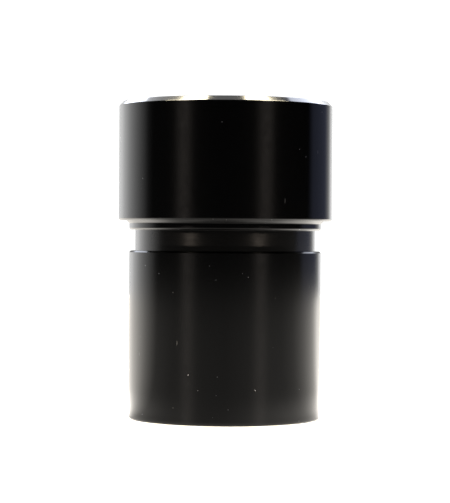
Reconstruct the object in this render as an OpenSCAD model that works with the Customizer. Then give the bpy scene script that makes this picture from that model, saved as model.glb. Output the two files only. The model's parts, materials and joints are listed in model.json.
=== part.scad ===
// A short Barlow lens for 1.25 inch eyepieces. It stands on its nose with +Z up, and the origin
// is on its axis at the nose's end. Screw threads are plain: a screw is its crest and a threaded
// hole is its root.

/* [Nose barrel] */
// Outside diameter of the nose, a push fit in a 1.25 inch focuser
barrel_d = 31.75; // [31.6:0.05:31.75]
// Height of the plain stretch from the nose's end to the undercut
barrel_h = 27.65; // [26:0.05:34]
// Height of the undercut that a focuser's screw drops into
undercut_h = 3.45; // [2:0.05:6]
// Depth of the undercut
undercut_depth = 1; // [0.4:0.1:1.1]
// Height of the land above the undercut
land_h = 1.1; // [0.8:0.05:3]
// Height of the flare between the land and the head
flare_h = 0.45; // [0.3:0.05:0.6]
// Diameter of the flare where it meets the head
flare_d = 32.7; // [32.4:0.1:33]
// Bore of the tube above the lens cell
tube_bore_d = 26.8; // [26:0.1:27]
// Root diameter of the nose's thread, which takes a filter and, deeper in, the lens cell
nose_thread_d = 28.5; // [28.4:0.05:28.6]
// Depth of the nose's thread
nose_thread_h = 10.2; // [10.2:0.1:12]
// Width of the relief groove between the filter's stretch of thread and the cell's
relief_w = 0.6; // [0.3:0.1:1]

/* [Head] */
// Outside diameter of the head
head_d = 35.3; // [35:0.1:40]
// Height of the head
head_h = 19.65; // [18:0.05:26]
// Diameter of the socket that takes an eyepiece
socket_d = 31.8; // [31.78:0.01:31.9]
// Chamfer round the top of the head
rim_chamfer = 0.75; // [0.4:0.05:0.9]
// Crest diameter of the thread that joins the barrel to the head
joint_thread_d = 30.8; // [30.2:0.1:31.2]
// Height of the barrel's spigot, which that thread is on
joint_thread_h = 3.35; // [2.5:0.05:5]
// Depth of the seat in the head's underside that centres the barrel's flare
flare_seat_h = 0.4; // [0.3:0.05:0.8]

/* [Optics] */
// Diameter of both lens elements
lens_d = 20; // [19:0.1:20]
// Radius of the crown element's lower face
crown_lower_r = 28.6; // [26:0.1:36]
// Radius of the faces that meet between the two elements
inner_r = 19.5; // [19:0.1:24]
// Radius of the flint element's upper face
flint_upper_r = 55.6; // [50:0.1:70]
// Thickness of the crown element on the axis
crown_t = 1.5; // [1.2:0.1:1.6]
// Thickness of the flint element on the axis
flint_t = 3.4; // [3.2:0.1:3.5]
// Width of the flat ground round each element's rim
rim_flat = 0.8; // [0.5:0.1:1]
// Thickness of the spacing ring between the elements
spacer_t = 0.3; // [0.2:0.05:0.35]

/* [Lens cell] */
// Height of the cell's lower end above the nose's end
cell_z = 5.8; // [5.5:0.1:6]
// Height of the cell's threaded flange
cell_flange_h = 4.35; // [4:0.05:4.35]
// Height of the whole cell
cell_h = 10.4; // [10.3:0.1:11]
// Thickness of the lip that the glass seats on
lip_t = 0.8; // [0.6:0.1:1]
// Root diameter of the retaining ring's thread
ring_thread_d = 21.2; // [21:0.1:21.6]
// Thickness of the retaining ring
ring_t = 1.3; // [1:0.1:1.35]
// Thickness of the rubber washer on the glass
washer_t = 0.4; // [0.3:0.05:0.45]

/* [Light stops] */
// Height of the lower stop's lower face
lower_stop_z = 20; // [18:0.5:22]
// Aperture of the lower stop
lower_stop_d = 20.8; // [20:0.1:22]
// Height of the upper stop's lower face
upper_stop_z = 30; // [28:0.5:32]
// Aperture of the upper stop
upper_stop_d = 22.6; // [22:0.1:24]

/* [Thumbscrew] */
// Height of the screw's axis above the head's underside
screw_rise = 10.8; // [9:0.1:12]
// Crest diameter of the screw's thread
screw_d = 4; // [3:0.5:4]
// Diameter of the knob over its knurl
knob_d = 9; // [8:0.5:10]
// Length of the knob
knob_l = 6; // [4:0.5:8]
// Number of flutes in the knurl
flutes = 24; // [16:1:30]

/* [Hidden] */
$fn = 96;

// Heights of the outside, from the nose up
undercut_z = barrel_h;
land_z = undercut_z + undercut_h;
flare_z = land_z + land_h;
head_z = flare_z + flare_h;
top_z = head_z + head_h;
socket_z = head_z + joint_thread_h;

// Edge breaks
edge = 0.25;
bore_edge = 0.35;
nose_mouth = 0.5;
relief_depth = 0.2;

// Clearances: of a thread or bearing, of a piece that turns in a bore, and between flat faces
// that part when the cell unscrews
thread_gap = 0.03;
turn_gap = 0.05;
glass_gap = 0.08;
seat_gap = 0.03;

// The sag of a sphere of radius r at a distance a from the axis
function sag(r, a) = r - sqrt(r * r - a * a);

// The glass, stacked down from the cell's lip
polished_r = lens_d / 2 - rim_flat;
crown_lower_sag = sag(crown_lower_r, polished_r);
inner_sag = sag(inner_r, polished_r);
flint_upper_sag = sag(flint_upper_r, polished_r);
crown_edge_t = crown_t + crown_lower_sag + inner_sag;
flint_edge_t = flint_t + flint_upper_sag - inner_sag;
lip_z = cell_z + cell_h - lip_t;
flint_z = lip_z - seat_gap - flint_edge_t;
spacer_z = flint_z - spacer_t;
crown_z = spacer_z - crown_edge_t;
washer_z = crown_z - washer_t;
ring_z = washer_z - seat_gap - ring_t;

// The rest of the cell
pilot_d = tube_bore_d - 0.14;
lens_bore_d = lens_d + 2 * glass_gap;
ring_thread_h = washer_z + 0.5 - cell_z;
slot_w = 1.2;
slot_depth = 0.7;
cell_slot_r = 12.4;

// The thumbscrew, whose axis points out along +Y
screw_z = head_z + screw_rise;
screw_hole_d = screw_d + 2 * turn_gap;
tip_y = socket_d / 2 + 0.07;
stud_y = tip_y + 0.53;
knob_y = head_d / 2 + 1.65;
collar_l = 0.4;
tip_d = 0.65 * screw_d;
tip_l = 2.2;
tip_hole_l = tip_y + tip_l + turn_gap - stud_y;
stud_l = knob_y + knob_l - 1.3 - stud_y;

anodised_black = [0.03, 0.03, 0.035];
matt_black = [0.02, 0.02, 0.02];
rubber_black = [0.05, 0.05, 0.05];
coated_glass = [0.45, 0.62, 0.55];
steel = [0.6, 0.6, 0.62];
nylon = [0.9, 0.9, 0.86];

// A cylinder that lies along +Y from a given distance
module along_y(from, length, d1, d2) {
    translate([0, from, screw_z]) rotate([-90, 0, 0])
        cylinder(d1 = d1, d2 = d2, h = length);
}

// The two slots that a pin spanner turns a ring by, cut up into its lower face at z
module spanner_slots(z, inner, outer) {
    for (side = [-1, 1])
        translate([side * (inner + outer) / 2, 0, z])
            cube([outer - inner, slot_w, 2 * slot_depth], center = true);
}

// The upper tube, which holds the eyepiece
module head() {
    r = head_d / 2;
    socket_r = socket_d / 2;
    joint_r = joint_thread_d / 2 + thread_gap;
    seat_r = flare_d / 2 + thread_gap;
    color(anodised_black)
    difference() {
        rotate_extrude() polygon([
            [seat_r, head_z],
            [r - edge, head_z],
            [r, head_z + edge],
            [r, top_z - rim_chamfer],
            [r - rim_chamfer, top_z],
            [socket_r + bore_edge, top_z],
            [socket_r, top_z - bore_edge],
            [socket_r, socket_z],
            [joint_r, socket_z],
            [joint_r, head_z + flare_seat_h],
            [seat_r, head_z + flare_seat_h]
        ]);
        along_y(socket_r - 1, r, screw_hole_d, screw_hole_d);
        along_y(r - 0.3, 1, screw_hole_d, screw_hole_d + 2);
    }
}

// The nose, with its undercut and the thread that the head screws onto
module barrel() {
    r = barrel_d / 2;
    undercut_r = r - undercut_depth;
    bore_r = tube_bore_d / 2;
    joint_r = joint_thread_d / 2;
    thread_r = nose_thread_d / 2;
    color(anodised_black)
    rotate_extrude() polygon([
        [thread_r + nose_mouth, 0],
        [r - edge, 0],
        [r, edge],
        [r, undercut_z - edge],
        [r - edge, undercut_z],
        [undercut_r, undercut_z],
        [undercut_r, land_z],
        [r - edge, land_z],
        [r, land_z + edge],
        [r, flare_z],
        [flare_d / 2, head_z],
        [flare_d / 2, head_z + flare_seat_h],
        [joint_r, head_z + flare_seat_h],
        [joint_r, socket_z],
        [bore_r + bore_edge, socket_z],
        [bore_r, socket_z - bore_edge],
        [bore_r, nose_thread_h],
        [thread_r, nose_thread_h],
        [thread_r, cell_z],
        [thread_r + relief_depth, cell_z],
        [thread_r + relief_depth, cell_z - relief_w],
        [thread_r, cell_z - relief_w],
        [thread_r, nose_mouth]
    ]);
}

// A ring with a knife edge, pushed into the tube to catch light that grazes its wall
module light_stop(z, aperture_d) {
    r = tube_bore_d / 2;
    band_t = 0.8;
    band_h = 2.2;
    web_t = 0.7;
    knife_t = 0.15;
    translate([0, 0, z]) rotate_extrude() polygon([
        [aperture_d / 2, 0],
        [r, 0],
        [r, band_h],
        [r - band_t, band_h],
        [r - band_t, web_t],
        [aperture_d / 2 + web_t, web_t],
        [aperture_d / 2, knife_t]
    ]);
}

module lower_light_stop() {
    color(matt_black) light_stop(lower_stop_z, lower_stop_d);
}

module upper_light_stop() {
    color(matt_black) light_stop(upper_stop_z, upper_stop_d);
}

// The cell that carries the glass: a threaded flange, a plain pilot above it and a lip on top
module lens_cell() {
    flange_r = nose_thread_d / 2 - turn_gap;
    ring_r = ring_thread_d / 2;
    lens_bore_r = lens_bore_d / 2;
    cell_top = cell_z + cell_h;
    color(anodised_black)
    difference() {
        rotate_extrude() polygon([
            [ring_r + edge, cell_z],
            [flange_r - edge, cell_z],
            [flange_r, cell_z + edge],
            [flange_r, cell_z + cell_flange_h],
            [pilot_d / 2, cell_z + cell_flange_h],
            [pilot_d / 2, cell_top - edge],
            [pilot_d / 2 - edge, cell_top],
            [polished_r + lip_t, cell_top],
            [polished_r, lip_z + edge],
            [polished_r, lip_z],
            [lens_bore_r, lip_z],
            [lens_bore_r, cell_z + ring_thread_h],
            [ring_r, cell_z + ring_thread_h],
            [ring_r, cell_z + edge]
        ]);
        spanner_slots(cell_z, cell_slot_r, nose_thread_d / 2 + 1);
    }
}

// The ring that screws in under the glass and holds it against the lip
module lens_retaining_ring() {
    r = ring_thread_d / 2 - thread_gap;
    aperture_r = polished_r - 0.2;
    flare = 0.6;
    color(anodised_black)
    difference() {
        rotate_extrude() polygon([
            [aperture_r + flare, ring_z],
            [r, ring_z],
            [r, ring_z + ring_t],
            [aperture_r, ring_z + ring_t],
            [aperture_r, ring_z + flare]
        ]);
        spanner_slots(ring_z, aperture_r + flare / 2, r + 1);
    }
}

// A flat ring that fits inside the lens bore
module flat_ring(z, thickness, inner_r, outer_r) {
    translate([0, 0, z]) rotate_extrude()
        translate([inner_r, 0]) square([outer_r - inner_r, thickness]);
}

module lens_washer() {
    color(rubber_black) flat_ring(washer_z, washer_t, polished_r + 0.05, lens_d / 2);
}

module lens_spacer() {
    color(matt_black) flat_ring(spacer_z, spacer_t, polished_r + 0.05, lens_d / 2);
}

// The lower element, hollow on both faces
module crown_lens() {
    color(coated_glass)
    difference() {
        translate([0, 0, crown_z]) cylinder(d = lens_d, h = crown_edge_t);
        translate([0, 0, crown_z + crown_lower_sag - crown_lower_r]) sphere(crown_lower_r);
        translate([0, 0, spacer_z - inner_sag + inner_r]) sphere(inner_r);
    }
}

// The upper element, which bulges down into the crown and is slightly hollow on top
module flint_lens() {
    color(coated_glass)
    difference() {
        union() {
            translate([0, 0, flint_z]) cylinder(d = lens_d, h = flint_edge_t);
            intersection() {
                translate([0, 0, flint_z - inner_sag + inner_r]) sphere(inner_r);
                translate([0, 0, flint_z - inner_r / 2])
                    cylinder(r = polished_r, h = inner_r / 2 + flint_edge_t / 4);
            }
        }
        translate([0, 0, flint_z + flint_edge_t - flint_upper_sag + flint_upper_r])
            sphere(flint_upper_r);
    }
}

// The knurled knob, with a collar that faces the head
module thumbscrew_knob() {
    knob_edge = 0.5;
    flute_d = 0.7;
    color(anodised_black)
    difference() {
        union() {
            along_y(knob_y - collar_l, collar_l + 1, 1.5 * screw_d, 1.5 * screw_d);
            along_y(knob_y, knob_edge, knob_d - 2 * knob_edge, knob_d);
            along_y(knob_y + knob_edge, knob_l - 2 * knob_edge, knob_d, knob_d);
            along_y(knob_y + knob_l - knob_edge, knob_edge, knob_d, knob_d - 2 * knob_edge);
        }
        along_y(knob_y - 1, stud_y + stud_l - knob_y + 1, screw_d, screw_d);
        for (i = [0 : flutes - 1])
            translate([0, knob_y - 1, screw_z]) rotate([-90, 360 * i / flutes, 0])
                translate([knob_d / 2 + flute_d / 4, 0, 0]) cylinder(d = flute_d, h = knob_l + 2);
    }
}

// The threaded shank, set in the knob and drilled at its end for the tip
module thumbscrew_stud() {
    stud_edge = 0.25;
    color(steel)
    difference() {
        union() {
            along_y(stud_y, stud_edge, screw_d - 2 * stud_edge, screw_d);
            along_y(stud_y + stud_edge, stud_l - stud_edge, screw_d, screw_d);
        }
        along_y(stud_y - 1, tip_hole_l + 1, tip_d + 2 * turn_gap, tip_d + 2 * turn_gap);
    }
}

// The soft tip, which presses on the eyepiece and doesn't turn with the stud
module thumbscrew_tip() {
    color(nylon) along_y(tip_y, tip_l, tip_d, tip_d);
}

head();
barrel();
lower_light_stop();
upper_light_stop();
lens_cell();
lens_retaining_ring();
lens_washer();
crown_lens();
lens_spacer();
flint_lens();
thumbscrew_knob();
thumbscrew_stud();
thumbscrew_tip();
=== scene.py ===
"""The looks of a short Barlow lens: a turned and black anodised head and nose, a coated doublet in a
screwed cell, and a knurled thumbscrew. Every piece is spun, threaded or knurled as the real one is."""

import json
import math

import bmesh
import bpy
from mathutils import Matrix, Vector


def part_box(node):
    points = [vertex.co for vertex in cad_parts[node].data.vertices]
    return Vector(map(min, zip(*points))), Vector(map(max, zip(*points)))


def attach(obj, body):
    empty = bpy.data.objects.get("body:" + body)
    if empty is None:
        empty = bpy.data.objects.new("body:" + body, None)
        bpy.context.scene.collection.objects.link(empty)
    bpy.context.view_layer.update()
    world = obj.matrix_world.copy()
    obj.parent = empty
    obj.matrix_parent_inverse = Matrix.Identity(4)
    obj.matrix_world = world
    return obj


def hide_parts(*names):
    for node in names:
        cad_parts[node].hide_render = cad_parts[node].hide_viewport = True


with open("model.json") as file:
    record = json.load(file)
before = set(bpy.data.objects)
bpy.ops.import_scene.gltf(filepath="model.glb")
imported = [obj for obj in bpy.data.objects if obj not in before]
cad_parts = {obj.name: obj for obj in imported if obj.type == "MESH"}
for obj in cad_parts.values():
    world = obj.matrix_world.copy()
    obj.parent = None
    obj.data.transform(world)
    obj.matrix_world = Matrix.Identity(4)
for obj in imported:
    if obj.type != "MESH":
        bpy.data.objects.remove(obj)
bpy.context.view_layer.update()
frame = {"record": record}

MM = 0.001
FULL_TURN = 2 * math.pi
AXIS = Vector((0, 0, 1))

# ------------------------------------------------------------------ sizes, in millimetres
MOUNTS = {mount["name"]: mount for mount in frame["record"]["mounts"]}


def reach(node):
    """A node's largest radius about the lens's axis, its lowest height and its highest."""
    low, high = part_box(node)
    return high.x / MM, low.z / MM, high.z / MM


def mount_r(name):
    """The radius of a mount, in millimetres."""
    return MOUNTS[name]["dims"]["r_mm"]


NOSE_R = mount_r("nose_barrel")
SOCKET_R = mount_r("eyepiece_socket")
NOSE_THREAD_R = mount_r("filter_thread")
HEAD_R, HEAD_Z, TOP_Z = reach("head")
FLARE_R, _, SOCKET_Z = reach("barrel")
TUBE_R = reach("lower_light_stop")[0]
CELL_R, CELL_Z, CELL_TOP = reach("lens_cell")
RING_R, RING_Z, RING_TOP = reach("lens_retaining_ring")
GLASS_R, CROWN_Z, CROWN_TOP = reach("crown_lens")
FLINT_TOP = reach("flint_lens")[2]

# The barrel's outside, from the nose up
UNDERCUT_Z = 27.65
LAND_Z = 31.1
FLARE_Z = 32.2
UNDERCUT_R = NOSE_R - 1.0
JOINT_R = 15.4
FLARE_SEAT = 0.4

# Screw threads, all right-handed
THREAD_PITCH = 0.6
THREAD_DEPTH = 0.32
THREAD_GAP = 0.03
THREAD_STEPS = 72

# The nose's inside
NOSE_MOUTH = 0.5
THREAD_TOP = 10.2
RELIEF_W = 0.6
RELIEF_DEPTH = 0.2
RIDGE_H = 0.6
RIDGE_DEPTH = 0.22
LOWER_STOP_APERTURE_R = 10.4
UPPER_STOP_APERTURE_R = 11.3

# Edges as they leave the lathe: cut chamfers, and the small round that deburring leaves on them
EDGE = 0.25
RIM_CHAMFER = 0.75
SOCKET_CHAMFER = 0.35
DEBURR = 0.06

# The cell and its glass
FLANGE_TOP = CELL_Z + 4.35
PILOT_R = TUBE_R - 0.07
LIP_T = 0.8
LENS_BORE_R = GLASS_R + 0.08
RING_BORE_R = RING_R + THREAD_GAP
RIM_FLAT = 0.8
POLISHED_R = GLASS_R - RIM_FLAT
CROWN_LOWER_R = 28.6
INNER_R = 19.5
FLINT_UPPER_R = 55.6
SLOTS_INNER_R = 12.4
SLOT_W = 1.2
SLOT_DEPTH = 0.7

# The thumbscrew, whose own axis points out along +Y
SCREW_PITCH = 0.7
SCREW_DEPTH = 0.38
HOLE_GAP = 0.05
KNURL_TEETH = 40
KNURL_DEPTH = 0.22
KNURL_ROWS = 10

# How finely the pieces are made
ROUND = 256
SMALL_ROUND = 96
WELD = 1e-4 * MM
SHARP = math.radians(35)
KNURL_SHARP = math.radians(20)

# How far from a wall a face may lie and still count as part of it: just clear of rounding
# errors, or as far as a deburred corner reaches
HAIR = 0.01
CORNER = 0.1


# ------------------------------------------------------------------ how the pieces are made
def finished(name, bm, materials, zone=None):
    """Closes a bmesh into a piece, gives each face the material that zone(centre) picks, and
    smooths everything but the edges that are meant to be crisp."""
    bmesh.ops.remove_doubles(bm, verts=bm.verts[:], dist=WELD)
    bmesh.ops.recalc_face_normals(bm, faces=bm.faces[:])
    for face in bm.faces:
        face.smooth = True
        if zone:
            face.material_index = materials.index(zone(face.calc_center_median() / MM))
    mesh = bpy.data.meshes.new(name)
    bm.to_mesh(mesh)
    bm.free()
    for material in materials:
        mesh.materials.append(material)
    mesh.set_sharp_from_angle(angle=SHARP)
    piece = bpy.data.objects.new(name, mesh)
    bpy.context.scene.collection.objects.link(piece)
    return piece


def held(outline, closed):
    """Adds a point just outside each rounded corner, on either side of it, so that the shading
    turns at the corner and the face beyond it stays true."""
    points = []
    count = len(outline)
    for i, point in enumerate(outline):
        rounded = len(point) > 2
        hold = 1.6 * point[2] if rounded else 0
        here = Vector(point[:2])
        sides = []
        for j in (i - 1, (i + 1) % count):
            away = Vector(outline[j][:2]) - here
            sides.append(tuple(here + away.normalized() * hold) if away.length > 2 * hold else None)
        if rounded and sides[0] and (closed or i > 0):
            points.append(sides[0])
        points.append(point)
        if rounded and sides[1] and (closed or i < count - 1):
            points.append(sides[1])
    return points


def turned(outline, steps=ROUND):
    """Spins an outline of (radius, height) or (radius, height, round) points, in millimetres,
    about the lens's axis. A point's round is the width that deburring takes off its corner. An
    outline whose two ends lie on the axis is left open, because the spin closes it."""
    bm = bmesh.new()
    outline = held(outline, closed=outline[0][0] > 0 or outline[-1][0] > 0)
    corners = [bm.verts.new((p[0] * MM, 0, p[1] * MM)) for p in outline]
    on_axis = outline[0][0] == 0 and outline[-1][0] == 0
    for pair in zip(corners, corners[1:]):
        bm.edges.new(pair)
    if not on_axis:
        bm.edges.new((corners[-1], corners[0]))
    for corner, point in zip(corners, outline):
        if len(point) > 2:
            bmesh.ops.bevel(
                bm, geom=[corner], offset=point[2] * MM, offset_type="OFFSET", segments=3,
                profile=0.5, affect="VERTICES", material=-1, clamp_overlap=True)
    bmesh.ops.spin(
        bm, geom=bm.verts[:] + bm.edges[:], cent=(0, 0, 0), axis=AXIS, dvec=(0, 0, 0),
        angle=FULL_TURN, steps=steps, use_merge=True, use_normal_flip=False, use_duplicate=False)
    return bm


def turned_to_axis(outline):
    """As turned(), for an outline that has one straight stretch along the axis: that stretch is
    dropped, because nothing is turned there."""
    start = next(i for i, p in enumerate(outline) if p[0] == 0)
    rolled = outline[start + 1:] + outline[:start + 1]
    return turned(rolled, SMALL_ROUND)


def add_thread(bm, root_r, crest_r, low, high, pitch, phase=0.0):
    """Winds one right-handed thread between two heights. Its ridge stands from the root's radius
    to the crest's, and is a little slimmer than its groove, so that two threads mesh freely.
    Phase is how many pitches the thread is shifted by."""
    foot = 0.40 * pitch
    tip = 0.09 * pitch
    sunk = 0.02 if crest_r > root_r else -0.02
    first = math.ceil((low + foot) / pitch - phase) + phase
    last = math.floor((high - foot) / pitch - phase) + phase
    turns = last - first
    z = first * pitch
    section = [(root_r - sunk, z - foot), (crest_r, z - tip),
               (crest_r, z + tip), (root_r - sunk, z + foot)]
    face = bm.faces.new([bm.verts.new((r * MM, 0, h * MM)) for r, h in section])
    count = round(THREAD_STEPS * turns)
    bmesh.ops.spin(
        bm, geom=[face, *face.edges, *face.verts], cent=(0, 0, 0), axis=AXIS,
        dvec=(0, 0, turns * pitch * MM / count), angle=FULL_TURN * turns, steps=count,
        use_merge=False, use_normal_flip=False, use_duplicate=False)


def cut(piece, cutter):
    """Takes the cutter's solid out of the piece."""
    saw = piece.modifiers.new("cut", "BOOLEAN")
    saw.operation, saw.solver, saw.object = "DIFFERENCE", "EXACT", cutter
    graph = bpy.context.evaluated_depsgraph_get()
    whole = piece.data
    piece.data = bpy.data.meshes.new_from_object(piece.evaluated_get(graph), depsgraph=graph)
    piece.data.name = piece.name
    piece.modifiers.clear()
    bpy.data.meshes.remove(whole)
    bpy.data.objects.remove(cutter)
    piece.data.set_sharp_from_angle(angle=SHARP)


def solid(name, bm):
    """A plain closed solid to cut with."""
    return finished(name, bm, [])


def stand_for(piece, body, node_name):
    """Puts a piece on its body, in place of its node."""
    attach(piece, body)
    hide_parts(node_name)
    return piece


def out_and_r(name):
    """A thumbscrew piece's near end, far end and radius, in millimetres."""
    low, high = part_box(name)
    return low.y / MM, high.y / MM, (high.x - low.x) / 2 / MM


def along_y(bm, out=0):
    """Lays a piece made about +Z along the thumbscrew's axis, its heights becoming distances
    out along +Y. Out moves it further along, in millimetres."""
    low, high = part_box("thumbscrew_stud")
    axis_z = (low.z + high.z) / 2
    lay = Matrix.Translation((0, out * MM, axis_z)) @ Matrix.Rotation(-math.pi / 2, 4, "X")
    bmesh.ops.transform(bm, matrix=lay, verts=bm.verts[:])
    return bm


# ------------------------------------------------------------------ how the finishes are made
def hex_colour(code):
    """An sRGB hex colour as linear RGBA."""
    channels = [int(code[i:i + 2], 16) / 255 for i in (1, 3, 5)]
    return (*(c / 12.92 if c <= 0.04045 else ((c + 0.055) / 1.055) ** 2.4 for c in channels), 1)


def node(tree, kind, inputs=None, **settings):
    """Adds a shader node. Inputs are set to values, or linked where an output is given."""
    made = tree.nodes.new("ShaderNode" + kind)
    for key, value in settings.items():
        setattr(made, key, value)
    for key, value in (inputs or {}).items():
        if isinstance(value, bpy.types.NodeSocket):
            tree.links.new(value, made.inputs[key])
        else:
            made.inputs[key].default_value = value
    return made


def new_material(name):
    """An empty material's tree, its shader and its Object coordinates."""
    material = bpy.data.materials.new(name)
    material.use_nodes = True
    tree = material.node_tree
    shader = tree.nodes["Principled BSDF"]
    place = node(tree, "TexCoord").outputs["Object"]
    return material, tree, shader, place


def set_up(shader, **values):
    """Sets the shader's own sockets, named with an underscore for each space."""
    for key, value in values.items():
        shader.inputs[key.replace("_", " ")].default_value = value


def spread(tree, value, low, high, to_low, to_high):
    """A value's stretch from low to high, spread over to_low to to_high."""
    return node(tree, "MapRange", {
        "Value": value, "From Min": low, "From Max": high,
        "To Min": to_low, "To Max": to_high}).outputs["Result"]


def turning_marks(tree, place, pitch):
    """Noise that changes only with height, as the marks of a turning tool do."""
    height = node(tree, "SeparateXYZ", {0: place}).outputs["Z"]
    turns = node(tree, "Math", {0: height, 1: 1 / (pitch * MM)}, operation="MULTIPLY")
    return node(tree, "TexNoise", {
        "W": turns.outputs[0], "Scale": 1.0, "Detail": 2.0, "Roughness": 0.6},
        noise_dimensions="1D").outputs["Fac"]


def flecks(tree, place, spacing, size, stretch=1.0):
    """1 on a few small flecks, and 0 elsewhere. Stretch makes them tall."""
    cells = 1 / (spacing * MM)
    spot = node(tree, "Mapping", {"Vector": place, "Scale": (cells, cells, cells / stretch)})
    near = node(tree, "TexVoronoi", {"Vector": spot.outputs[0], "Scale": 1.0})
    return spread(tree, near.outputs["Distance"], 0.5 * size / spacing, 0.35 * size / spacing, 0, 1)


DUST = "#b4b4b8"


def black_anodised(name, pitch, depth, dust=0.5, metal="#0c0c0d", dullness=0.4, sheen=0.12,
                   film=1.0, ledge=None):
    """Turned aluminium, dyed black and sealed. The dye leaves almost no colour, the sealed film
    shines like glass, and the tool's rings under it draw each light out into an upright band.
    Just above a ledge the metal is painted black, as painted shade where the ledge hides the lights.
    Pitch and depth are the tool marks' in millimetres, drawn coarser than real ones so that they show.
    Film is how much of the sealed film there is, and sheen is how dull it is. The tint keeps the
    metal dark where it is seen at a slant."""
    material, tree, shader, place = new_material(name)
    marks = turning_marks(tree, place, pitch)
    specks = flecks(tree, place, spacing=2.4, size=0.18)
    nicks = flecks(tree, place, spacing=1.4, size=0.07, stretch=14)
    worn = node(tree, "Math", {0: specks, 1: nicks}, operation="MAXIMUM", use_clamp=True)
    share = node(tree, "Math", {0: worn.outputs[0], 1: dust}, operation="MULTIPLY")
    colour = node(tree, "Mix", {
        "Factor": share.outputs[0], 6: hex_colour(metal), 7: hex_colour(DUST)},
        data_type="RGBA")
    # Painted shade: below this height the base colour is black, fading back to the metal's above it.
    if ledge:
        height = node(tree, "SeparateXYZ", {0: place}).outputs["Z"]
        painted_shade_top = ledge + 0.75
        clear_of_painted_shade = spread(tree, height, painted_shade_top * MM, (painted_shade_top + 0.3) * MM, 0, 1)
        colour = node(tree, "Mix", {"Factor": clear_of_painted_shade, 6: hex_colour("#000000"),
                                    7: colour.outputs[2]}, data_type="RGBA")
    bump = node(tree, "Bump", {"Height": marks, "Distance": depth * MM, "Strength": 1.0})
    tangent = node(tree, "Tangent", direction_type="RADIAL", axis="Z")
    tree.links.new(colour.outputs[2], shader.inputs["Base Color"])
    cloud = node(tree, "TexNoise", {"Vector": place, "Scale": 1 / (1.1 * MM), "Detail": 4.0})
    by_ring = spread(tree, marks, 0.2, 0.8, dullness - 0.03, dullness + 0.06)
    by_cloud = spread(tree, cloud.outputs["Fac"], 0.35, 0.65, -0.05, 0.06)
    uneven = node(tree, "Math", {0: by_ring, 1: by_cloud}, operation="ADD")
    tree.links.new(uneven.outputs[0], shader.inputs["Roughness"])
    tree.links.new(bump.outputs[0], shader.inputs["Normal"])
    tree.links.new(tangent.outputs[0], shader.inputs["Tangent"])
    set_up(shader, Metallic=1.0, Anisotropic=1.0, Anisotropic_Rotation=0.25,
           Specular_Tint=hex_colour("#404040"), Coat_Weight=film, Coat_Roughness=sheen,
           Coat_IOR=1.5)
    return material


def grained(name, grain_mm, detail, dullness, bump_mm=0):
    """A material whose dullness runs between two values with a grain of a size in millimetres,
    and which the grain also dents when it has a depth. Returns the material and its shader."""
    material, tree, shader, place = new_material(name)
    grain = node(tree, "TexNoise", {
        "Vector": place, "Scale": 1 / (grain_mm * MM), "Detail": detail}).outputs["Fac"]
    tree.links.new(spread(tree, grain, 0.3, 0.7, *dullness), shader.inputs["Roughness"])
    if bump_mm:
        bump = node(tree, "Bump", {"Height": grain, "Distance": bump_mm * MM, "Strength": 1.0})
        tree.links.new(bump.outputs[0], shader.inputs["Normal"])
    return material, shader


def matt_lining(name, colour="#0c0c0c"):
    """Flat black that soaks up stray light: no shine, and a fine grain of powder."""
    material, shader = grained(name, 0.15, 3.0, (0.62, 0.8), bump_mm=0.012)
    set_up(shader, Base_Color=hex_colour(colour))
    return material


def optical_glass(name, ior, tint):
    """Polished glass with an anti-reflection film a quarter wave thick, which leaves a faint
    green or violet sheen where it catches a light."""
    material, shader = grained(name, 9, 1.0, (0.0, 0.012))
    set_up(shader, Base_Color=hex_colour(tint), IOR=ior, Transmission_Weight=1.0,
           Thin_Film_Thickness=118.0, Thin_Film_IOR=1.38)
    return material


def rubber(name):
    """Moulded rubber: dull, a little grey, and never quite even."""
    material, shader = grained(name, 0.3, 2.0, (0.7, 0.9))
    set_up(shader, Base_Color=hex_colour("#1c1c1c"))
    return material


def turned_steel(name):
    """Bright steel with rolled threads: grey, with a fine grain that breaks up its shine."""
    material, shader = grained(name, 0.12, 3.0, (0.22, 0.38), bump_mm=0.003)
    set_up(shader, Base_Color=hex_colour("#a9aaac"), Metallic=1.0)
    return material


def nylon(name):
    """Undyed nylon: milky white, softly shining, and a little see-through."""
    material, shader = grained(name, 0.5, 2.0, (0.38, 0.5))
    set_up(shader, Base_Color=hex_colour("#ddd9cc"), Subsurface_Weight=0.3,
           Subsurface_Radius=(0.6 * MM, 0.5 * MM, 0.4 * MM), Subsurface_Scale=1.0)
    return material


OUTSIDE = black_anodised("black_anodised_turned", 0.22, 0.0012)
# The undercut's lowest strip, just above the shoulder, gets painted shade through ledge.
UNDERCUT = black_anodised(
    "black_anodised_undercut", 0.45, 0.006, metal="#1b1a1a", dullness=0.48, sheen=0.17,
    ledge=UNDERCUT_Z)
# A darker, less shiny copy of the turned finish for the shoulder's chamfer: painted shade that dims
# the glints there.
EDGE_SHADED_BLACK = black_anodised(
    "black_anodised_edge", 0.22, 0.0006, dust=0.2, metal="#020202", film=0.25)
KNOB_BLACK = black_anodised("black_anodised_knurled", 0.3, 0.002, dust=0.2)
SOCKET_BLACK = black_anodised("black_anodised_bore", 0.3, 0.004, dust=0.2)
LINING = matt_lining("matt_black_lining")
CELL_BLACK = black_anodised("black_anodised_cell", 0.25, 0.003, dust=0.1)
GROUND_RIM = matt_lining("blackened_ground_glass", "#101010")
CROWN_GLASS = optical_glass("crown_glass_coated", 1.517, "#fbfffc")
FLINT_GLASS = optical_glass("flint_glass_coated", 1.62, "#fffdf7")
WASHER_RUBBER = rubber("moulded_rubber")
STEEL = turned_steel("turned_steel")
NYLON = nylon("natural_nylon")


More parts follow.
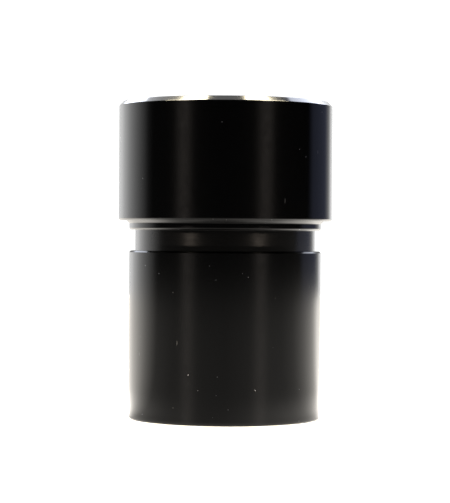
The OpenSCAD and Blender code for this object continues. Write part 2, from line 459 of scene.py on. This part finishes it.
# ------------------------------------------------------------------ the tube
def make_head():
    """The eyepiece's socket, with the thumbscrew's hole through its wall."""
    outline = [
        (FLARE_R + THREAD_GAP, HEAD_Z),
        (HEAD_R - EDGE, HEAD_Z, DEBURR),
        (HEAD_R, HEAD_Z + EDGE, DEBURR),
        (HEAD_R, TOP_Z - RIM_CHAMFER, DEBURR),
        (HEAD_R - RIM_CHAMFER, TOP_Z, DEBURR),
        (SOCKET_R + SOCKET_CHAMFER, TOP_Z, DEBURR),
        (SOCKET_R, TOP_Z - SOCKET_CHAMFER, DEBURR),
        (SOCKET_R, SOCKET_Z),
        (JOINT_R + THREAD_GAP, SOCKET_Z),
        (JOINT_R + THREAD_GAP, HEAD_Z + FLARE_SEAT),
        (FLARE_R + THREAD_GAP, HEAD_Z + FLARE_SEAT)]

    def zone(centre):
        in_socket = math.hypot(centre.x, centre.y) < SOCKET_R + 2 * HAIR
        return SOCKET_BLACK if in_socket else OUTSIDE

    head = finished("head_body", turned(outline), [OUTSIDE, SOCKET_BLACK], zone)
    hole_r = out_and_r("thumbscrew_stud")[2] + HOLE_GAP
    # Each cutter's radius at its near and its far end, where it starts and how long it is
    for name, near_r, far_r, start, length in (
            ("screw_hole", hole_r, hole_r, SOCKET_R - 1, 4),
            ("screw_hole_mouth", hole_r, hole_r + 1, HEAD_R - 0.3, 1)):
        bm = bmesh.new()
        bmesh.ops.create_cone(
            bm, cap_ends=True, segments=64, radius1=near_r * MM, radius2=far_r * MM,
            depth=length * MM)
        cut(head, solid(name, along_y(bm, start + length / 2)))
    return stand_for(head, "tube", "head")


def make_barrel():
    """The nose and the tube above it. Its bore has ridges against stray light."""
    top = SOCKET_Z - 2 * RIDGE_H
    count = round((top - CELL_TOP - RIDGE_H) / RIDGE_H)
    ridges = [(TUBE_R, top)]
    for i in range(count):
        z = top - i * RIDGE_H
        ridges += [(TUBE_R + RIDGE_DEPTH, z - RIDGE_H / 2), (TUBE_R, z - RIDGE_H)]
    outline = [
        (NOSE_THREAD_R + NOSE_MOUTH, 0, DEBURR),
        (NOSE_R - EDGE, 0, DEBURR),
        (NOSE_R, EDGE, DEBURR),
        (NOSE_R, UNDERCUT_Z - EDGE),
        (NOSE_R - EDGE, UNDERCUT_Z),
        (UNDERCUT_R, UNDERCUT_Z),
        (UNDERCUT_R, LAND_Z, DEBURR),
        (NOSE_R - EDGE, LAND_Z, DEBURR),
        (NOSE_R, LAND_Z + EDGE, DEBURR),
        (NOSE_R, FLARE_Z, DEBURR),
        (FLARE_R, HEAD_Z),
        (FLARE_R, HEAD_Z + FLARE_SEAT),
        (JOINT_R, HEAD_Z + FLARE_SEAT),
        (JOINT_R, SOCKET_Z),
        (TUBE_R + SOCKET_CHAMFER, SOCKET_Z, DEBURR),
        (TUBE_R, SOCKET_Z - SOCKET_CHAMFER, DEBURR),
        *ridges,
        (TUBE_R, THREAD_TOP),
        (NOSE_THREAD_R, THREAD_TOP),
        (NOSE_THREAD_R, CELL_Z),
        (NOSE_THREAD_R + RELIEF_DEPTH, CELL_Z),
        (NOSE_THREAD_R + RELIEF_DEPTH, CELL_Z - RELIEF_W),
        (NOSE_THREAD_R, CELL_Z - RELIEF_W),
        (NOSE_THREAD_R, NOSE_MOUTH)]
    bm = turned(outline)
    crest = NOSE_THREAD_R - THREAD_DEPTH
    add_thread(bm, NOSE_THREAD_R, crest, NOSE_MOUTH, CELL_Z - RELIEF_W, THREAD_PITCH)
    add_thread(bm, NOSE_THREAD_R, crest, CELL_Z, THREAD_TOP, THREAD_PITCH)

    def zone(centre):
        r = math.hypot(centre.x, centre.y)
        if r < NOSE_THREAD_R + RELIEF_DEPTH + HAIR:
            return LINING if centre.z > THREAD_TOP else CELL_BLACK
        in_undercut = r < UNDERCUT_R + CORNER
        # The shoulder's chamfer gets the painted-shade copy of the finish.
        if UNDERCUT_Z - EDGE < centre.z < UNDERCUT_Z + HAIR and not in_undercut:
            return EDGE_SHADED_BLACK
        return UNDERCUT if in_undercut and UNDERCUT_Z < centre.z < LAND_Z else OUTSIDE

    finishes = [OUTSIDE, UNDERCUT, LINING, CELL_BLACK, EDGE_SHADED_BLACK]
    barrel = finished("barrel_body", bm, finishes, zone)
    return stand_for(barrel, "tube", "barrel")


def make_light_stop(name, aperture_r):
    """A ring with a web that comes in to a knife edge."""
    r, z, top = reach(name)
    band_t = 0.8
    web_t = 0.7
    knife_t = 0.15
    outline = [
        (aperture_r, z), (r, z), (r, top), (r - band_t, top, DEBURR),
        (r - band_t, z + web_t), (aperture_r + web_t, z + web_t, DEBURR),
        (aperture_r, z + knife_t)]
    stop = finished(name + "_ring", turned(outline, SMALL_ROUND * 2), [LINING])
    return stand_for(stop, "tube", name)


# ------------------------------------------------------------------ the cell and its glass
def slot_cutters(z, inner, outer):
    """Two bars that cut the slots for a pin spanner up into a face at height z."""
    for side in (-1, 1):
        bm = bmesh.new()
        bmesh.ops.create_cube(bm, size=MM)
        bmesh.ops.scale(bm, vec=(outer - inner, SLOT_W, 2 * SLOT_DEPTH), verts=bm.verts[:])
        bmesh.ops.translate(bm, vec=(side * (inner + outer) / 2 * MM, 0, z * MM),
                            verts=bm.verts[:])
        yield solid("slot", bm)


def make_lens_cell():
    """The cell is half a thread out of step with the nose, so that their ridges pass."""
    root_r = CELL_R - THREAD_DEPTH
    lip_z = CELL_TOP - LIP_T
    ring_bore_top = reach("lens_washer")[1] + 0.5
    outline = [
        (RING_BORE_R + EDGE, CELL_Z, DEBURR),
        (root_r, CELL_Z, DEBURR),
        (root_r, FLANGE_TOP),
        (PILOT_R, FLANGE_TOP),
        (PILOT_R, CELL_TOP - EDGE, DEBURR),
        (PILOT_R - EDGE, CELL_TOP, DEBURR),
        (POLISHED_R + LIP_T, CELL_TOP, DEBURR),
        (POLISHED_R, lip_z + EDGE, DEBURR),
        (POLISHED_R, lip_z),
        (LENS_BORE_R, lip_z),
        (LENS_BORE_R, ring_bore_top),
        (RING_BORE_R, ring_bore_top),
        (RING_BORE_R, CELL_Z + EDGE, DEBURR)]
    cell = finished("lens_cell_body", turned(outline), [CELL_BLACK])
    for cutter in slot_cutters(CELL_Z, SLOTS_INNER_R, CELL_R + 1):
        cut(cell, cutter)
    bm = bmesh.new()
    bm.from_mesh(cell.data)
    add_thread(bm, root_r, CELL_R, CELL_Z, FLANGE_TOP, THREAD_PITCH, phase=0.5)
    bmesh.ops.recalc_face_normals(bm, faces=bm.faces[:])
    bm.to_mesh(cell.data)
    bm.free()
    cell.data.set_sharp_from_angle(angle=SHARP)
    return stand_for(cell, "cell", "lens_cell")


def make_retaining_ring():
    aperture_r = POLISHED_R - 0.2
    flare = 0.6
    outline = [
        (aperture_r + flare, RING_Z, DEBURR), (RING_R, RING_Z, DEBURR), (RING_R, RING_TOP),
        (aperture_r, RING_TOP), (aperture_r, RING_Z + flare, DEBURR)]
    ring = finished("lens_retaining_ring_body", turned(outline), [CELL_BLACK])
    for cutter in slot_cutters(RING_Z, aperture_r + flare / 2, RING_R + 1):
        cut(ring, cutter)
    return stand_for(ring, "cell", "lens_retaining_ring")


def make_flat_ring(name, material):
    """A plain ring that lies on a lens's rim, clear of its polished face."""
    r, low, high = reach(name)
    inner = POLISHED_R + 0.05
    outline = [(inner, low), (r, low), (r, high), (inner, high)]
    ring = finished(name + "_ring", turned(outline, SMALL_ROUND * 2), [material])
    return stand_for(ring, "glass", name)


def sag(sphere_r, r):
    """How far a sphere falls away from its top at a radius from the axis."""
    return sphere_r - math.sqrt(sphere_r ** 2 - r ** 2)


def polished_face(sphere_r, apex_z, up, outwards, points=20):
    """Points along a polished face: a sphere that meets the axis at apex_z and rises (up = 1)
    or falls (up = -1) towards the rim."""
    radii = [POLISHED_R * i / points for i in range(points + 1)]
    if not outwards:
        radii.reverse()
    return [(r, apex_z + up * sag(sphere_r, r)) for r in radii]


def make_lens(name, outline, glass):
    def zone(centre):
        return GROUND_RIM if math.hypot(centre.x, centre.y) > POLISHED_R else glass

    lens = finished(name + "_element", turned(outline), [glass, GROUND_RIM], zone)
    return stand_for(lens, "glass", name)


def make_crown():
    lower = polished_face(CROWN_LOWER_R, CROWN_Z + sag(CROWN_LOWER_R, POLISHED_R), -1, True)
    upper = polished_face(INNER_R, CROWN_TOP - sag(INNER_R, POLISHED_R), 1, False)
    rim = [(GLASS_R, CROWN_Z, 0.15), (GLASS_R, CROWN_TOP, 0.15)]
    return make_lens("crown_lens", lower + rim + upper, CROWN_GLASS)


def make_flint():
    rim_z = reach("lens_spacer")[2]
    lower = polished_face(INNER_R, rim_z - sag(INNER_R, POLISHED_R), 1, True)
    upper = polished_face(FLINT_UPPER_R, FLINT_TOP - sag(FLINT_UPPER_R, POLISHED_R), 1, False)
    rim = [(GLASS_R, rim_z, 0.1), (GLASS_R, FLINT_TOP, 0.1)]
    return make_lens("flint_lens", lower + rim + upper, FLINT_GLASS)


# ------------------------------------------------------------------ the thumbscrew
def make_knob():
    """Every other corner of a fine grid round the knob is pulled out into a diamond's point."""
    collar, end, knob_r = out_and_r("thumbscrew_knob")
    collar_r = 3.0
    face = collar + 0.4
    dish_r = 2.4
    dish_z = end - 0.25
    root_r = knob_r - KNURL_DEPTH
    band_low = face + 0.45
    band_high = end - 0.55
    row_h = (band_high - band_low) / KNURL_ROWS
    band = [(root_r, band_low + i * row_h) for i in range(KNURL_ROWS + 1)]
    outline = [
        (0, collar), (collar_r, collar, DEBURR), (collar_r, face), (root_r - 0.4, face, DEBURR),
        *band, (root_r - 0.45, end, 0.12), (dish_r + 0.2, end, 0.05), (dish_r, dish_z, 0.05),
        (0, dish_z)]
    columns = 2 * KNURL_TEETH
    bm = turned(outline, columns)
    bmesh.ops.remove_doubles(bm, verts=bm.verts[:], dist=WELD)
    high = set()
    for v in bm.verts:
        row = (v.co.z / MM - band_low) / row_h
        r = math.hypot(v.co.x, v.co.y) / MM
        if abs(r - root_r) > HAIR or not 0.5 < row < KNURL_ROWS - 0.5:
            continue
        column = round(math.atan2(v.co.y, v.co.x) / FULL_TURN * columns)
        if (round(row) + column) % 2:
            high.add(v)
    for v in high:
        out = Vector((v.co.x, v.co.y, 0)).normalized()
        v.co += out * KNURL_DEPTH * 0.98 * MM
    for f in [f for f in bm.faces if any(v in high for v in f.verts) and len(f.verts) == 4]:
        low = [v for v in f.verts if v not in high]
        if len(low) == 2:
            bmesh.utils.face_split(f, low[0], low[1])
    knob = finished("thumbscrew_knob_body", along_y(bm), [KNOB_BLACK])
    knob.data.set_sharp_from_angle(angle=KNURL_SHARP)
    return stand_for(knob, "thumbscrew", "thumbscrew_knob")


def make_stud():
    near, far, r = out_and_r("thumbscrew_stud")
    _, tip_far, tip_r = out_and_r("thumbscrew_tip")
    hole_r = tip_r + HOLE_GAP
    hole_end = tip_far + HOLE_GAP
    root_r = r - SCREW_DEPTH
    bm = turned_to_axis([
        (hole_r, near, 0.03), (root_r, near, 0.05), (root_r, far), (0, far), (0, hole_end),
        (hole_r, hole_end)])
    add_thread(bm, root_r, r, near, out_and_r("thumbscrew_knob")[0] + 0.6, SCREW_PITCH)
    stud = finished("thumbscrew_stud_body", along_y(bm), [STEEL])
    return stand_for(stud, "thumbscrew", "thumbscrew_stud")


def make_tip():
    near, far, r = out_and_r("thumbscrew_tip")
    outline = [(0, near), (r, near, 0.2), (r, far, 0.05), (0, far)]
    tip = finished("thumbscrew_tip_body", along_y(turned(outline, SMALL_ROUND)), [NYLON])
    return stand_for(tip, "screw_tip", "thumbscrew_tip")


make_head()
make_barrel()
make_light_stop("lower_light_stop", LOWER_STOP_APERTURE_R)
make_light_stop("upper_light_stop", UPPER_STOP_APERTURE_R)
make_lens_cell()
make_retaining_ring()
make_flat_ring("lens_washer", WASHER_RUBBER)
make_flat_ring("lens_spacer", LINING)
make_crown()
make_flint()
make_knob()
make_stud()
make_tip()


# ------------------------------------------------------------------ the studio
# The table: its size, the two radii that each patch of its painted glow fades out between, and how
# strong the glow is. The glow is painted light, which the lens mirrors in place of the lit table.
FLOOR_R = 700
FLOOR_HOLE_R = NOSE_R - 0.6
UNDER_FADE = (18, 22)
FOOT_FADE = (30, 70)
UNDER_GLOW = 0.4
RING_GLOW = 3.2
FOOT_GLOW = 0.84
FOOT_GLOW_BACK = 0.76
FOOT_GLOW_RIGHT = 0.2

# How bright the table and the room are by bearing: 0 is straight behind the lens, less than that
# is to its left, and 180 either way is straight in front
# TABLE_GLOW is painted light on the table; ROOM_GLOW is the light of the room.
TABLE_GLOW = [
    (-180, "#505050"), (-120, "#595959"), (-94, "#6c6c6c"), (-76, "#b4b4b4"), (-66, "#d2d2d2"),
    (-54, "#e0e0e0"), (-38, "#dadada"), (-22, "#c8c8c8"), (-9, "#989898"), (9, "#989898"),
    (22, "#d0d0d0"), (38, "#f9f9f9"), (54, "#cbcbcb"), (68, "#b7b7b7"), (76, "#a6a6a6"),
    (94, "#7c7c7c"), (110, "#696969"), (180, "#505050")]
ROOM_GLOW = [
    (-180, "#0a0a0a"), (-96, "#181818"), (-89, "#404040"), (-82, "#888888"), (-73, "#b8b8b8"),
    (-62, "#e0e0e0"), (-48, "#ffffff"), (-32, "#ffffff"), (-22, "#e0e0e0"), (-9, "#b0b0b0"),
    (7, "#b0b0b0"), (19, "#e0e0e0"), (26, "#e0e0e0"), (33, "#9a9a9a"), (45, "#4e5264"),
    (72, "#4e5264"), (80, "#101010"), (180, "#0a0a0a")]

# How bright the room is by height, from straight down at -1 to straight up at 1
ROOM_CLIMB = [
    (-1, "#ffffff"), (-0.3, "#ffffff"), (-0.05, "#a8a8a8"), (0.2, "#a8a8a8"), (0.5, "#f4f8ff"),
    (0.8, "#b8b8b8"), (1, "#989898")]

# Each lamp's name, where it hangs, its width and height in metres, its radiance and its colour.
# The strips hang high above and glint on the rim, the front pair draw the upright bands, and
# the windows light the sides.
LAMP_DISTANCE = 1.2
LAMPS = [
    ("left_strip", (-0.36, 0.11, 0.93), (0.2, 0.5), 60, "#fff2cf"),
    ("right_strip", (0.365, 0.11, 0.93), (0.2, 0.5), 60, "#fff2cf"),
    ("left_front", (-0.62, -0.53, 0.57), (0.25, 0.3), 54, "#fff2df"),
    ("right_front", (0.60, -0.54, 0.57), (0.25, 0.3), 54, "#fff2df"),
    ("left_window", (-0.45, 0.73, 0.52), (0.5, 0.5), 9, "#e9efff"),
    ("right_window", (0.5, 0.6, 0.62), (0.62, 0.7), 7, "#e9efff")]


def bearing(tree, way):
    """A direction's bearing as a share of a full turn: 0.5 is straight behind the lens, and more
    is to the right of it."""
    around = node(tree, "Math", {0: way.outputs["X"], 1: way.outputs["Y"]}, operation="ARCTAN2")
    return spread(tree, around.outputs[0], -math.pi, math.pi, 0, 1)


def by_bearing(degrees):
    return degrees / 360 + 0.5


def by_height(height):
    return (height + 1) / 2


def fill_ramp(ramp, stops, place):
    """Fills a colour ramp from (position, colour) stops. The places are set before any colour,
    because an element can change its turn when its place changes."""
    while len(ramp.elements) < len(stops):
        ramp.elements.new(0.5)
    for element, (position, _) in zip(ramp.elements, stops):
        element.position = place(position)
    for element, (_, colour) in zip(ramp.elements, stops):
        element.color = hex_colour(colour)


def white_table():
    """White laminate, overexposed by its lamps. What the lens mirrors of it is painted light, a glow
    that is dimmer in front than at the back, with a brighter patch round its foot, and the table is
    clear from below."""
    material, tree, shader, place = new_material("white_table")
    grain = node(tree, "TexNoise", {"Vector": place, "Scale": 1 / (3 * MM), "Detail": 2.0})
    tree.links.new(spread(tree, grain.outputs["Fac"], 0.3, 0.7, 0.6, 0.7),
                   shader.inputs["Roughness"])
    set_up(shader, Base_Color=hex_colour("#f4f4f2"))
    far = node(tree, "VectorMath", {0: place}, operation="LENGTH").outputs["Value"]
    way = node(tree, "SeparateXYZ", {0: place})
    back = node(tree, "Math", {0: way.outputs["Y"], 1: far}, operation="DIVIDE").outputs[0]
    right = node(tree, "Math", {0: way.outputs["X"], 1: far}, operation="DIVIDE").outputs[0]
    ring = node(tree, "ValToRGB", {"Fac": bearing(tree, way)})
    fill_ramp(ring.color_ramp, TABLE_GLOW, by_bearing)
    wide = node(tree, "Math", {0: ring.outputs["Color"], 1: RING_GLOW}, operation="MULTIPLY")
    behind = node(tree, "Math", {0: back, 1: FOOT_GLOW_BACK, 2: FOOT_GLOW},
                  operation="MULTIPLY_ADD")
    foot = node(tree, "Math", {0: right, 1: FOOT_GLOW_RIGHT, 2: behind.outputs[0]},
                operation="MULTIPLY_ADD")
    fade = spread(tree, far, FOOT_FADE[0] * MM, FOOT_FADE[1] * MM, 1, 0)
    near = node(tree, "Math", {0: foot.outputs[0], 1: fade}, operation="MULTIPLY")
    patch = spread(tree, far, UNDER_FADE[0] * MM, UNDER_FADE[1] * MM, UNDER_GLOW, 0)
    under = node(tree, "Math", {0: wide.outputs[0], 1: patch}, operation="ADD")
    glow = node(tree, "Math", {0: under.outputs[0], 1: near.outputs[0]}, operation="ADD")
    # Painted light: rays other than the camera's see the table glow with this pattern instead of lit
    # by its lamps.
    painted_mirrored_light = node(tree, "Emission", {"Color": hex_colour("#fffaf2"),
                                       "Strength": glow.outputs[0]})
    seen = node(tree, "LightPath").outputs["Is Camera Ray"]
    table = node(tree, "MixShader", {0: seen, 1: painted_mirrored_light.outputs[0], 2: shader.outputs[0]})
    from_below = node(tree, "NewGeometry").outputs["Backfacing"]
    clear = node(tree, "BsdfTransparent").outputs[0]
    both = node(tree, "MixShader", {0: from_below, 1: table.outputs[0], 2: clear})
    tree.links.new(both.outputs[0], tree.nodes["Material Output"].inputs["Surface"])
    return material


def make_floor():
    """A round white table, open under the nose, so that light comes up through the lens."""
    bm = bmesh.new()
    bmesh.ops.create_circle(bm, cap_ends=False, segments=SMALL_ROUND, radius=FLOOR_HOLE_R * MM)
    grown = bmesh.ops.extrude_edge_only(bm, edges=bm.edges[:])["geom"]
    outer = [v for v in grown if isinstance(v, bmesh.types.BMVert)]
    bmesh.ops.scale(bm, vec=(FLOOR_R / NOSE_R,) * 2 + (1,), verts=outer)
    bmesh.ops.recalc_face_normals(bm, faces=bm.faces[:])
    if bm.faces[:][0].normal.z < 0:
        bmesh.ops.reverse_faces(bm, faces=bm.faces[:])
    mesh = bpy.data.meshes.new("white_table")
    bm.to_mesh(mesh)
    bm.free()
    mesh.materials.append(white_table())
    table = bpy.data.objects.new("white_table", mesh)
    bpy.context.scene.collection.objects.link(table)


def make_surroundings():
    """A bright white room behind the lens and to its left, dim to the right and dark in front.
    Straight up and straight down it is bright all round. What the camera sees directly is
    plain white."""
    world = bpy.data.worlds.new("white_room")
    bpy.context.scene.world = world
    world.use_nodes = True
    tree = world.node_tree
    way = node(tree, "SeparateXYZ", {0: node(tree, "TexCoord").outputs["Generated"]})
    ring = node(tree, "ValToRGB", {"Fac": bearing(tree, way)})
    fill_ramp(ring.color_ramp, ROOM_GLOW, by_bearing)
    climb = node(tree, "ValToRGB", {"Fac": spread(tree, way.outputs["Z"], -1, 1, 0, 1)})
    fill_ramp(climb.color_ramp, ROOM_CLIMB, by_height)
    side = node(tree, "Mix", {"Factor": 1.0, 6: ring.outputs["Color"],
                              7: climb.outputs["Color"]}, data_type="RGBA",
                blend_type="MULTIPLY")
    top = spread(tree, way.outputs["Z"], 0.8, 0.95, 0, 1)
    below = spread(tree, way.outputs["Z"], -0.4, -0.6, 0, 1)
    whole = node(tree, "Math", {0: top, 1: below}, operation="MAXIMUM")
    sky = node(tree, "Mix", {"Factor": whole.outputs[0], 6: side.outputs[2],
                             7: climb.outputs["Color"]}, data_type="RGBA")
    room = node(tree, "Background", {"Color": sky.outputs[2], "Strength": 5.0})
    plain = node(tree, "Background", {"Color": hex_colour("#ffffff"), "Strength": 1.2})
    seen = node(tree, "LightPath").outputs["Is Camera Ray"]
    both = node(tree, "MixShader", {0: seen, 1: room.outputs[0], 2: plain.outputs[0]})
    tree.links.new(both.outputs[0], tree.nodes["World Output"].inputs["Surface"])


def make_lamp(name, way, size, radiance, colour):
    """A soft oblong lamp that faces the lens."""
    lamp = bpy.data.lights.new(name, "AREA")
    lamp.shape, lamp.size, lamp.size_y = "RECTANGLE", *size
    lamp.energy = radiance * size[0] * size[1] * math.pi
    lamp.color = hex_colour(colour)[:3]
    holder = bpy.data.objects.new(name, lamp)
    holder.location = Vector(way).normalized() * LAMP_DISTANCE
    holder.rotation_euler = (-Vector(way)).to_track_quat("-Z", "Y").to_euler()
    bpy.context.scene.collection.objects.link(holder)


def make_camera():
    """A third of a metre off, level with the undercut, looking very slightly down."""
    camera = bpy.data.cameras.new("camera")
    camera.sensor_width = 36
    camera.lens = 144.6
    camera.clip_start, camera.clip_end = 0.02, 10
    holder = bpy.data.objects.new("camera", camera)
    place = Matrix.Translation((0, -0.335, 0.0306))
    tilt = Matrix.Rotation(math.radians(90 - 0.52), 4, "X")
    roll = Matrix.Rotation(math.radians(0.38), 4, "Z")
    holder.matrix_world = place @ tilt @ roll
    bpy.context.scene.collection.objects.link(holder)
    bpy.context.scene.camera = holder


make_floor()
make_surroundings()
for lamp in LAMPS:
    make_lamp(*lamp)
make_camera()
bpy.context.scene.view_settings.view_transform = "Standard"
